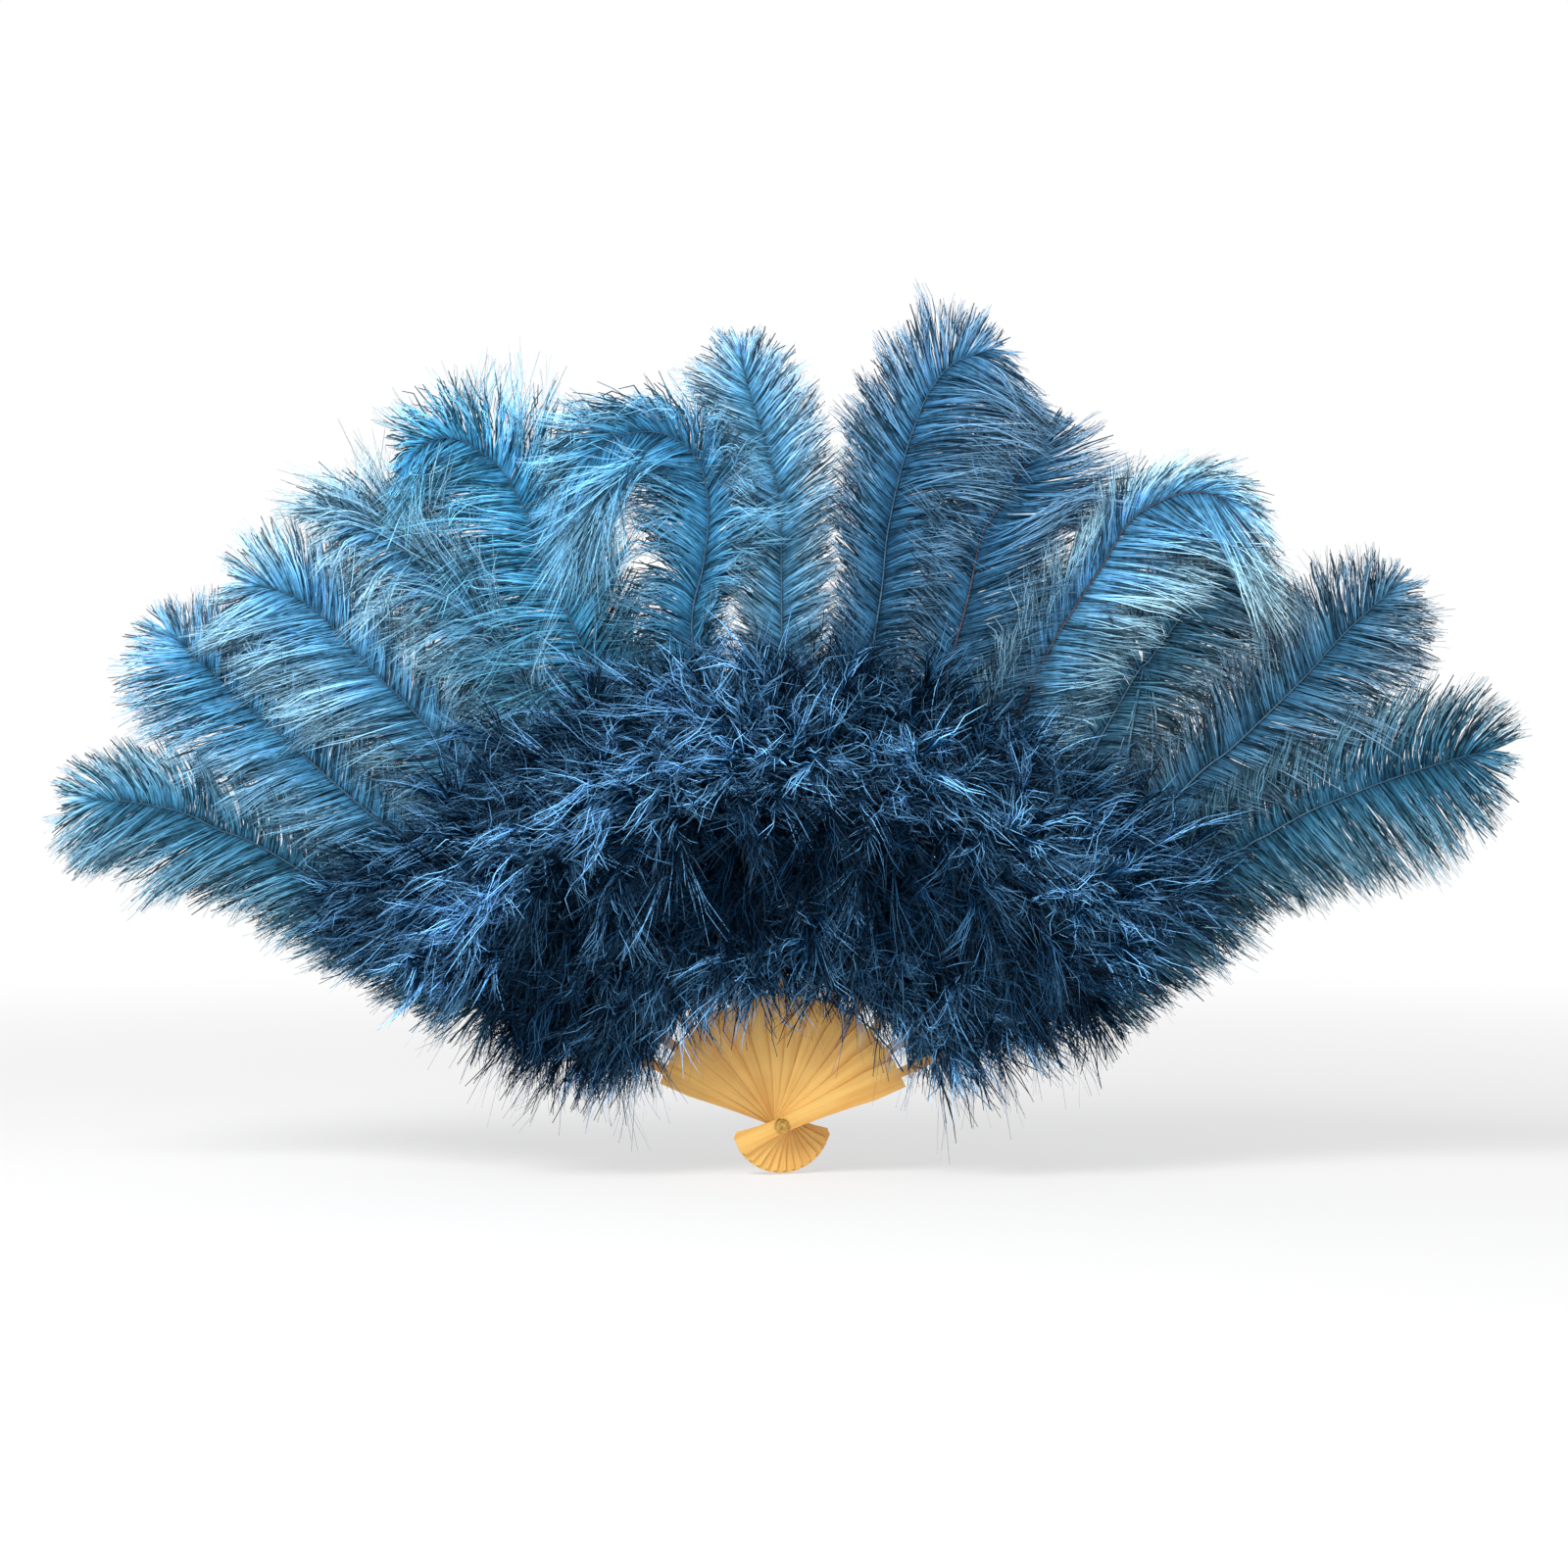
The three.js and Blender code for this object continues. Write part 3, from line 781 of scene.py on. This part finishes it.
# For each plume: how its colour is scaled in red, green and blue, partly as it was dyed and partly as painted
# light and shade; the pixels that its quill passes in the picture, from the marabou to the tip, each with how
# far it comes forward in mm; and the vane on each side.
# A pace below 1 brings the blade nearer the root, and one above 1 nearer the tip.
PLUMES = {
    -6: dict(
        dye_and_light=(0.84, 0.86, 0.85),
        path=[
            (284, 874, 6), (222, 846, 12), (192, 831, 16), (161, 823, 20), (124, 817, 24), (92, 815, 28),
        ],
        left=Vane(60, 86, 26, 48, 0.12, 0),
        right=Vane(36, 50, 20, 76, 0, 0.5),
    ),
    -5: dict(
        dye_and_light=(0.93, 0.95, 0.96),
        path=[
            (355, 811, 8), (273, 737, 14), (230, 699, 18), (200, 672, 22), (176, 648, 26),
        ],
        left=Vane(50, 80, 26, 58, 0.15, 0.1),
        right=Vane(46, 72, 26, 58, 0.05, 0.1),
    ),
    -4: dict(
        dye_and_light=(1.1, 1.04, 1.03),
        path=[
            (439, 745, 8), (385, 689, 14), (340, 640, 18), (310, 614, 22), (284, 602, 26), (264, 597, 30),
        ],
        left=Vane(60, 104, 30, 54, 0.15, 0),
        right=Vane(46, 78, 26, 52, 0, 0.1),
    ),
    -3: dict(
        dye_and_light=(1.12, 1.05, 1.04),
        path=[
            (522, 689, 6), (494, 648, 12), (458, 603, 16), (425, 570, 24), (388, 545, 34), (356, 532, 42),
        ],
        left=Vane(40, 62, 36, 56, 0.35, 0),
        right=Vane(50, 145, 50, 10, 0.22, 0),
        pace=0.45,
        sizes=CURLY,
    ),
    -2: dict(
        dye_and_light=(0.87, 1.0, 1.0),
        path=[
            (556, 575, 10), (539, 528, 14), (526, 503, 18), (512, 480, 20), (492, 462, 26), (462, 447, 32),
            (436, 452, 38), (418, 470, 42),
        ],
        left=Vane(54, 112, 40, 60, 0.3, 0),
        right=Vane(56, 80, 20, 60, 0, 0.22),
        pace=0.42,
        sizes=CURLY,
    ),
    -1: dict(
        dye_and_light=(0.86, 0.94, 0.96),
        path=[
            (706, 650, 6), (718, 575, 12), (723, 520, 20), (714, 474, 30), (690, 448, 42), (656, 440, 52),
            (622, 450, 58), (598, 472, 61),
        ],
        left=Vane(66, 108, 56, 50, 0.38, 0),
        right=Vane(40, 74, 32, 40, 0.35, 0.1),
        sizes=CURLY,
    ),
    0: dict(
        dye_and_light=(1.08, 1.0, 0.98),
        path=[
            (797, 560, 6), (793, 500, 12), (776, 435, 16), (763, 395, 20), (756, 362, 24),
        ],
        left=Vane(40, 68, 24, 50, 0.05, 0),
        right=Vane(40, 64, 22, 56, 0.05, 0),
    ),
    1: dict(
        dye_and_light=(0.74, 0.75, 0.79),
        path=[
            (897, 620, 6), (905, 548, 12), (917, 489, 16), (932, 438, 20), (950, 397, 22), (974, 370, 28),
            (1006, 358, 36),
        ],
        left=Vane(40, 68, 18, 54, 0, 0.05),
        right=Vane(34, 114, 28, 56, 0.35, 0),
    ),
    2: dict(
        dye_and_light=(0.74, 0.75, 0.79),
        path=[
            (972, 668, 4), (988, 609, 8), (1001, 548, 10), (1017, 521, 12), (1036, 492, 14),
            (1062, 448, 18),
        ],
        left=Vane(40, 74, 22, 56, 0.1, 0),
        right=Vane(72, 96, 24, 58, 0, 0.1),
    ),
    3: dict(
        dye_and_light=(1.18, 1.07, 1.06),
        path=[
            (1058, 688, 6), (1096, 621, 12), (1125, 577, 18), (1154, 531, 26), (1192, 508, 34),
            (1224, 502, 42), (1256, 510, 50),
        ],
        left=Vane(94, 54, 24, 34, 0.36, 0.25),
        right=Vane(62, 112, 44, 60, 0.22, 0.2),
        pace=1.6,
    ),
    4: dict(
        dye_and_light=(0.74, 0.7, 0.69),
        path=[
            (1154, 697, 4), (1171, 676, 6), (1205, 630, 10), (1238, 596, 14), (1268, 578, 18),
        ],
        left=Vane(40, 62, 22, 56, 0, 0),
        right=Vane(44, 76, 26, 58, 0.25, 0),
    ),
    5: dict(
        dye_and_light=(0.76, 0.73, 0.74),
        path=[
            (1208, 805, 8), (1256, 764, 12), (1297, 725, 16), (1334, 688, 18), (1368, 650, 22),
            (1402, 618, 26), (1420, 602, 28),
        ],
        left=Vane(48, 70, 20, 60, 0, 0),
        right=Vane(52, 82, 24, 58, 0.1, 0),
    ),
    6: dict(
        dye_and_light=(0.67, 0.71, 0.71),
        path=[
            (1256, 877, 8), (1295, 851, 12), (1334, 829, 16), (1370, 814, 18), (1419, 795, 22),
            (1479, 776, 26), (1512, 768, 30),
        ],
        left=Vane(50, 66, 22, 88, 0, 0.6),
        right=Vane(52, 82, 26, 74, 0.06, 0),
    ),
}

# Along a quill: share of its run, how much of the root, blade and tip length the barbs have there, and
# their share of the vane's angle
VANE_ROWS = [
    (0.0, 1.0, 0.0, 0.0, 1.0), (0.2, 1.0, 0.0, 0.0, 1.05), (0.45, 0.6, 0.4, 0.0, 1.05),
    (0.62, 0.15, 0.85, 0.0, 1.02), (0.75, 0.0, 1.0, 0.0, 1.0), (0.87, 0.0, 0.9, 0.1, 0.96),
    (0.94, 0.0, 0.6, 0.4, 0.85), (0.98, 0.0, 0.1, 0.9, 0.55), (1.0, 0.0, 0.0, 1.0, 0.12),
]

PLUME_SIZES = {
    "Barb Step": 1.25 * MM,
    "Barbs per Step": 12,
    "Barb Bends": 6,
    "Barb Width": 1.0 * MM,
    "Barb Roll": 0.2,
    "Barb Unrest": 0.1,
    "Barb Lift": 0.2,
    "Hook": 0.15,
    "Wave": 6 * MM,
    "Tuft Width": 3.4 * MM,
    "Tuft Pull": 0.6,
    "Tuft Unrest": 0.04,
    "Ragged": 0.15,
    "Quill Radius": 1.2 * MM,
    "Depth Limit": 69 * MM,
}

# Painted shade: the plumes are darkened inside this radius and come to their full brightness over the reach
# beyond it
SHADED_RADIUS = 350 * MM
SHADE_REACH = 200 * MM
SHADED_LIGHT = 0.4

# A quill leaves its fork straight
STRAIGHT_QUILL = 28 * MM
BROWN_QUILL_STICKS = (-3, 2, 3)

# The first of the plumes' seeds, and the step from one stick's seed to the next
PLUME_SEED = 500
SEED_STEP = 40


def row_at(rows, share):
    """The values at a share of a run, straight between the rows on either side."""
    for low, high in zip(rows, rows[1:]):
        if share <= high[0]:
            part = (share - low[0]) / (high[0] - low[0])
            return [a + (b - a) * max(part, 0) for a, b in zip(low[1:], high[1:])]
    return list(rows[-1][1:])


def plume_line(k, plume):
    """The quill from the fork of its stick out through the pixels of the picture."""
    y = layer(k)
    angle = k * STICK_PITCH
    places = [polar(FORK_RADIUS, angle, y), polar(FORK_RADIUS + STRAIGHT_QUILL, angle, y)]
    places += [at_pixel(px, py, y - forward * MM) for px, py, forward in plume["path"]]
    runs = [0.0]
    for low, high in zip(places, places[1:]):
        runs.append(runs[-1] + (high - low).length)
    line = []
    for place, run in zip(places, runs):
        *weights, turn = row_at(VANE_ROWS, (run / runs[-1]) ** plume.get("pace", 1.0))
        # Painted shade on the plumes near the marabou, fading out with the radius
        clear = min(max((place.length - SHADED_RADIUS) / SHADE_REACH, 0), 1)
        light = SHADED_LIGHT + (1 - SHADED_LIGHT) * clear
        bend = (plume["left"].bend, plume["right"].bend, light)
        point = {"place": place, "face": tuple(FRONT), "bend": bend}
        for side in ("left", "right"):
            vane = plume[side]
            lengths = (vane.root, vane.blade, vane.tip)
            reach = sum(length * weight for length, weight in zip(lengths, weights))
            point[side] = (reach * MM, math.radians(vane.angle * turn), vane.droop)
        line.append(point)
    return line


def make_plumes():
    for k, plume in PLUMES.items():
        name = f"plume_{side_name(k)}"
        sizes = {
            **PLUME_SIZES,
            **plume.get("sizes", {}),
            "Seed": PLUME_SEED + SEED_STEP * k,
            "Dye": plume_dye_and_light(k, plume["dye_and_light"]),
            "Quill Dye": BROWN_QUILL if k in BROWN_QUILL_STICKS else PLUME_QUILL,
        }
        piece = grow(f"{name}_feather", [plume_line(k, plume)], sizes)
        settle(piece, k, [name])


# Marabou


class Tier(NamedTuple):
    """The small feathers at one height of a stick, tied to its front and its back."""

    counts: tuple  # how many on the front, and on the back
    roots: tuple  # the least and greatest radius of their roots, in mm
    length: float  # of a feather, in mm
    out: float  # how much it points along its stick
    forward: float  # how much it leans off the face of its stick
    sag: float  # how far it hangs by its end, as a share of its length
    barb: float  # length of its barbs, in mm
    open: float  # how wide they stand, as a share of the angles in MARABOU_ROWS
    spread: float  # how much it leans to its own side of the bunch
    outward: float  # share of that lean kept on the outer side of a guard; below zero turns it inward
    light: tuple  # the least and most painted light on it, which brightens or darkens its colour
    side_light: float = 0.0  # painted light that is added towards the guards
    side_out: float = 0.0  # pointing along the stick that is added by the guards


MARABOU_TIERS = {
    "bed": Tier(
        counts=(9, 6), roots=(120, 282), length=50, out=1.0, forward=0.1, sag=0.0, barb=48, open=1.0,
        spread=0.9, outward=0.3, light=(0.02, 0.12),
    ),
    "crest": Tier(
        counts=(6, 5), roots=(262, 288), length=102, out=1.0, forward=0.12, sag=0.05, barb=66, open=0.7,
        spread=1.0, outward=-0.3, light=(0.15, 1.35),
    ),
    "crown": Tier(
        counts=(6, 4), roots=(254, 292), length=66, out=1.0, forward=0.6, sag=0.15, barb=56, open=1.05,
        spread=1.0, outward=-0.3, light=(0.3, 2.1),
    ),
    "mop": Tier(
        counts=(2, 1), roots=(262, 290), length=84, out=0.5, forward=0.6, sag=1.1, barb=50, open=0.7,
        spread=1.0, outward=0.2, light=(0.05, 0.55), side_light=0.9,
    ),
    "middle": Tier(
        counts=(7, 5), roots=(190, 262), length=46, out=0.5, forward=0.8, sag=0.4, barb=58, open=0.8,
        spread=0.9, outward=0.3, light=(0.0, 0.06), side_light=0.2,
    ),
    "skirt": Tier(
        counts=(7, 4), roots=(135, 200), length=42, out=0.0, forward=0.6, sag=0.45, barb=48, open=0.7,
        spread=0.9, outward=0.6, light=(0.15, 1.1), side_out=0.45,
    ),
}

# The mop hangs only from the sticks this near the centre's
MOP_STICKS = 3

# The crest is longer on the guards and beside them
SIDE_CREST_SHARE = 1.2

# At the guards the barbs are shorter, and the feathers lean up, towards the middle of the fan
GUARD_BARB_SHARES = {-STICKS_EACH_SIDE: 0.6, STICKS_EACH_SIDE: 0.5}
GUARD_LEANS = {-STICKS_EACH_SIDE: 0.1, STICKS_EACH_SIDE: -0.35}

MARABOU_SIZES = {
    "Barb Step": 1.85 * MM,
    "Barbs per Step": 5,
    "Barb Bends": 5,
    "Barb Width": 0.75 * MM,
    "Barb Roll": 1.1,
    "Barb Unrest": 0.12,
    "Barb Lift": 0.3,
    "Hook": 0.4,
    "Wave": 12 * MM,
    "Tuft Width": 7 * MM,
    "Tuft Pull": 0.5,
    "Tuft Unrest": 0.3,
    "Ragged": 0.3,
    "Quill Radius": 0.5 * MM,
    "Depth Limit": 69 * MM,
}

# Along a small feather: share of its straight run, share of its sag, barb length share, barb angle in degrees
MARABOU_ROWS = [
    (0.0, 0.0, 0.5, 58),
    (0.3, 0.09, 0.8, 58),
    (0.6, 0.36, 1.0, 54),
    (0.85, 0.72, 1.0, 46),
    (1.0, 1.0, 0.85, 28),
]

# Roots: how far a bunch and a feather stray along the rib in mm, the share of the gap between two sticks
# that a bunch fans out over, the distance from the middle of a rib, and the step that spreads them evenly
BUNCH_STRAY = 8
ROOT_STRAY = 6
ROOT_FAN = 0.3
RIB_FACE = 1.6 * MM
FIRST_ROOT = 0.2
ROOT_STEP = 0.618

# Feathers: how their lean, length, sag and face vary, and the droop and bend of their barbs
SPREAD_STRAY = 0.2
SIDE_LEAN = 0.7
LEAN_STRAY = 0.2
CLIMB = 0.6
FORWARD_RANGE = (0.7, 1.2)
LENGTH_RANGE = (0.75, 1.2)
SAG_RANGE = (0.4, 1.4)
FACE_TURN = 0.8
BARB_DROOP = 0.35
BARB_BEND = 0.2
# Each bunch's painted light is scaled at random between these
BUNCH_LIGHT = (0.7, 1.3)

# The seeds of the bunches' shapes and of their barbs
BUNCH_SEED = 1000
BUNCH_SEED_STEP = 10
MARABOU_SEED = 3000


def outward_share(k, tier):
    """The share of its lean that a feather on a bunch's outer side keeps: less by the guards."""
    kept = {STICKS_EACH_SIDE: tier.outward, STICKS_EACH_SIDE - 1: (1 + tier.outward) / 2}
    return kept.get(abs(k), 1.0)


def marabou_line(rng, k, face, tier, bunch, spread, share):
    """One small feather, tied to the face of its stick, that leans out and then sags."""
    low, high = tier.roots
    shift, boost = bunch
    guard_share = abs(k) / STICKS_EACH_SIDE
    radius = (low + (high - low) * share + shift + rng.uniform(-ROOT_STRAY, ROOT_STRAY)) * MM
    if spread * k > 0:
        spread *= outward_share(k, tier)
    angle = k * STICK_PITCH + spread * STICK_PITCH * ROOT_FAN
    root = polar(radius, angle, layer(k) + face * RIB_FACE)
    lean = spread * SIDE_LEAN * tier.spread + rng.uniform(-LEAN_STRAY, LEAN_STRAY)
    lean += GUARD_LEANS.get(k, 0.0)
    way = radial(angle) * (tier.out + tier.side_out * guard_share) + sideways(angle) * lean
    # Feathers under more sticks climb more to come out past them
    depth = abs(layer(face * STICKS_EACH_SIDE * -1) - layer(k)) / (tier.length * MM)
    forward = tier.forward * rng.uniform(*FORWARD_RANGE) + depth * CLIMB
    way = (way + FRONT * (-face) * forward).normalized()
    length = tier.length * rng.uniform(*LENGTH_RANGE) * MM
    if tier is MARABOU_TIERS["crest"] and abs(k) >= STICKS_EACH_SIDE - 1:
        length *= SIDE_CREST_SHARE
    sag = tier.sag * rng.uniform(*SAG_RANGE)
    faced = tuple(sideways(angle) * rng.uniform(-FACE_TURN, FACE_TURN) - way.cross(sideways(angle)))
    # Painted light and shade for the feather's colour: by tier, more towards the guards, and scaled by bunch
    light = (rng.uniform(*tier.light) + tier.side_light * guard_share) * boost
    barb = tier.barb * MM * GUARD_BARB_SHARES.get(k, 1.0)
    bend = (BARB_BEND, BARB_BEND, light)
    line = []
    for run, drop, size, barb_angle in MARABOU_ROWS:
        place = root + way * (length * run) + DOWN * (length * sag * drop)
        vane = (barb * size, math.radians(barb_angle * tier.open), BARB_DROOP)
        line.append({"place": place, "left": vane, "right": vane, "bend": bend, "face": faced})
    return line


def marabou_lines(k, face):
    rng = random.Random(BUNCH_SEED + BUNCH_SEED_STEP * k + face)
    lines = []
    for tier in MARABOU_TIERS.values():
        if tier is MARABOU_TIERS["mop"] and abs(k) > MOP_STICKS:
            continue
        count = tier.counts[0 if face < 0 else 1]
        bunch = (rng.uniform(-BUNCH_STRAY, BUNCH_STRAY), rng.uniform(*BUNCH_LIGHT))
        for i in range(count):
            spread = 2 * (i + 0.5) / count - 1 + rng.uniform(-SPREAD_STRAY, SPREAD_STRAY)
            share = (i * ROOT_STEP + FIRST_ROOT) % 1
            lines.append(marabou_line(rng, k, face, tier, bunch, spread, share))
    return lines


def make_marabou():
    """A bunch on the front of each rib, which is its -Y face, and one on the back."""
    for k in STICKS:
        for face, side in ((-1, "front"), (1, "back")):
            name = f"marabou_{side}_{side_name(k)}"
            seed = MARABOU_SEED + SEED_STEP * k + face
            sizes = {**MARABOU_SIZES, "Seed": seed, "Dye": MARABOU_DYE_AND_LIGHT, "Quill Dye": CORD_DYE}
            piece = grow(f"{name}_feathers", marabou_lines(k, face), sizes)
            settle(piece, k, [name])


# Sticks, rivet and cord

LACQUER_SEED = 7
LACQUER_RANGE = 0.1

# The cord: half its thickness, how far it lies off the ribs' middles, its sag between two, and the points of
# a length
CORD_HALF = 0.7 * MM
CORD_FORWARD = 2.6 * MM
CORD_SAG = 1.5 * MM
CORD_POINTS = 9


def dress_node(name, material):
    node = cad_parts[name]
    if not node.material_slots:
        node.data.materials.append(material)
    for slot in node.material_slots:
        slot.material = material


def dress_sticks():
    rng = random.Random(LACQUER_SEED)
    for k in STICKS:
        warmth = 1.0 - LACQUER_RANGE * rng.random()
        dress_node(stick_node(k), stick_lacquer(f"stick_lacquer_{side_name(k)}", k * STICK_PITCH, warmth))
    brass = old_brass()
    for name in ("rivet_pin", "rivet_cap", "washer_front", "washer_back"):
        dress_node(name, brass)


def cord_curve(name, inner, outer):
    """A length of cord from one rib to the next, which sags a little between them."""
    curve = bpy.data.curves.new(name, "CURVE")
    curve.dimensions = "3D"
    curve.bevel_depth = CORD_HALF
    curve.bevel_resolution = 2
    spline = curve.splines.new("NURBS")
    spline.points.add(CORD_POINTS - 1)
    for i in range(CORD_POINTS):
        share = i / (CORD_POINTS - 1)
        between = inner + (outer - inner) * share
        sag = math.sin(share * math.pi) * CORD_SAG
        place = polar(CORD_RADIUS, between * STICK_PITCH, layer(between) - CORD_FORWARD) + DOWN * sag
        spline.points[i].co = (*place, 1.0)
    spline.use_endpoint_u = True
    spline.order_u = 4
    return curve


def make_link_cord():
    """The link cord as one knotted length for each stick but the centre's, tied to the stick beside it."""
    for k in STICKS:
        if k == 0:
            continue
        name = f"link_cord_{side_name(k)}"
        curve = cord_curve(name, k - math.copysign(1, k), k)
        mesh = plain_mesh(add_object("link_cord_line", curve))
        mesh.materials.clear()
        mesh.materials.append(CORD_DYE)
        piece = add_object(name, mesh)
        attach(piece, side_name(k))
        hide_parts("link_cord")
        anchor = tuple(polar(CORD_RADIUS, k * STICK_PITCH, layer(k)))
        fold_joint(k)
        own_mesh(piece)


# Stage

WHITE = (1, 1, 1, 1)
FLOOR_GREY = (244, 244, 244)
FLOOR_HALF = 8.0
FLOOR_Z = -0.0425

# From this distance to this one the floor goes over into white, and it starts with this share of it
FLOOR_NEAR = 0.6
FLOOR_FAR = 3.0
NEAR_WHITE = 0.55

# The sky's light on the fan, and the white that it shows to the camera
SKY_LIGHT = 0.52
SKY_WHITE = 1.0

# Lamps: place and side of the square in metres, and power in watts; each looks at the middle of the fan
LAMPS = {
    "key_lamp": ((-1.1, -1.8, 2.2), 1.3, 67),
    "fill_lamp": ((1.5, -2.2, 0.8), 1.8, 10),
}
LAMP_TARGET = Vector((0, 0, 0.3))


def backdrop_rays(net):
    """1 for the rays that show the background, straight, mirrored or through something."""
    path = net.node("ShaderNodeLightPath")
    seen = net.math("MAXIMUM", path.pick("Is Camera Ray"), path.pick("Is Glossy Ray"))
    return net.math("MAXIMUM", seen, path.pick("Is Transmission Ray"))


def make_camera():
    camera = add_object("camera", bpy.data.cameras.new("camera"))
    camera.location = (CAMERA_X, -CAMERA_BACK, CAMERA_Z)
    camera.rotation_euler = (math.radians(90), 0, 0)
    camera.data.sensor_width = SENSOR
    camera.data.lens = SENSOR * CAMERA_BACK / (PHOTO_SIDE * PIXEL)
    bpy.context.scene.camera = camera


def make_floor():
    corners = [(x * FLOOR_HALF, y * FLOOR_HALF, FLOOR_Z) for x, y in ((-1, -1), (1, -1), (1, 1), (-1, 1))]
    mesh = bpy.data.meshes.new("floor")
    mesh.from_pydata(corners, [], [(0, 1, 2, 3)])
    floor = add_object("floor", mesh)
    material, net = new_material("pale_floor")
    seen = backdrop_rays(net)
    distance = net.vector("LENGTH", object_place(net), out="Value")
    far = net.spread(distance, FLOOR_NEAR, FLOOR_FAR, NEAR_WHITE, 1.0)
    plain = net.node("ShaderNodeBsdfDiffuse", {}, {"Color": linear(*FLOOR_GREY)})
    white = net.node("ShaderNodeEmission", {}, {"Color": WHITE, "Strength": 1.0})
    shader = net.node("ShaderNodeMixShader", {}, {0: seen * far, 1: plain, 2: white})
    net.node("ShaderNodeOutputMaterial", {}, {"Surface": shader})
    mesh.materials.append(material)


def make_light():
    world = bpy.data.worlds.new("studio")
    world.use_nodes = True
    world.node_tree.nodes.clear()
    net = Net(world.node_tree)
    strength = net.mix(backdrop_rays(net), SKY_LIGHT, SKY_WHITE)
    sky = net.node("ShaderNodeBackground", {}, {"Color": WHITE, "Strength": strength})
    net.node("ShaderNodeOutputWorld", {}, {"Surface": sky})
    bpy.context.scene.world = world
    for name, (place, side, power) in LAMPS.items():
        lamp = bpy.data.lights.new(name, "AREA")
        lamp.shape = "SQUARE"
        lamp.size = side
        lamp.energy = power
        made = add_object(name, lamp)
        made.location = place
        made.rotation_euler = (LAMP_TARGET - Vector(place)).to_track_quat("-Z", "Y").to_euler()


make_camera()
make_floor()
make_light()
bpy.context.scene.view_settings.view_transform = "Standard"

dress_sticks()
make_link_cord()
make_plumes()
make_marabou()
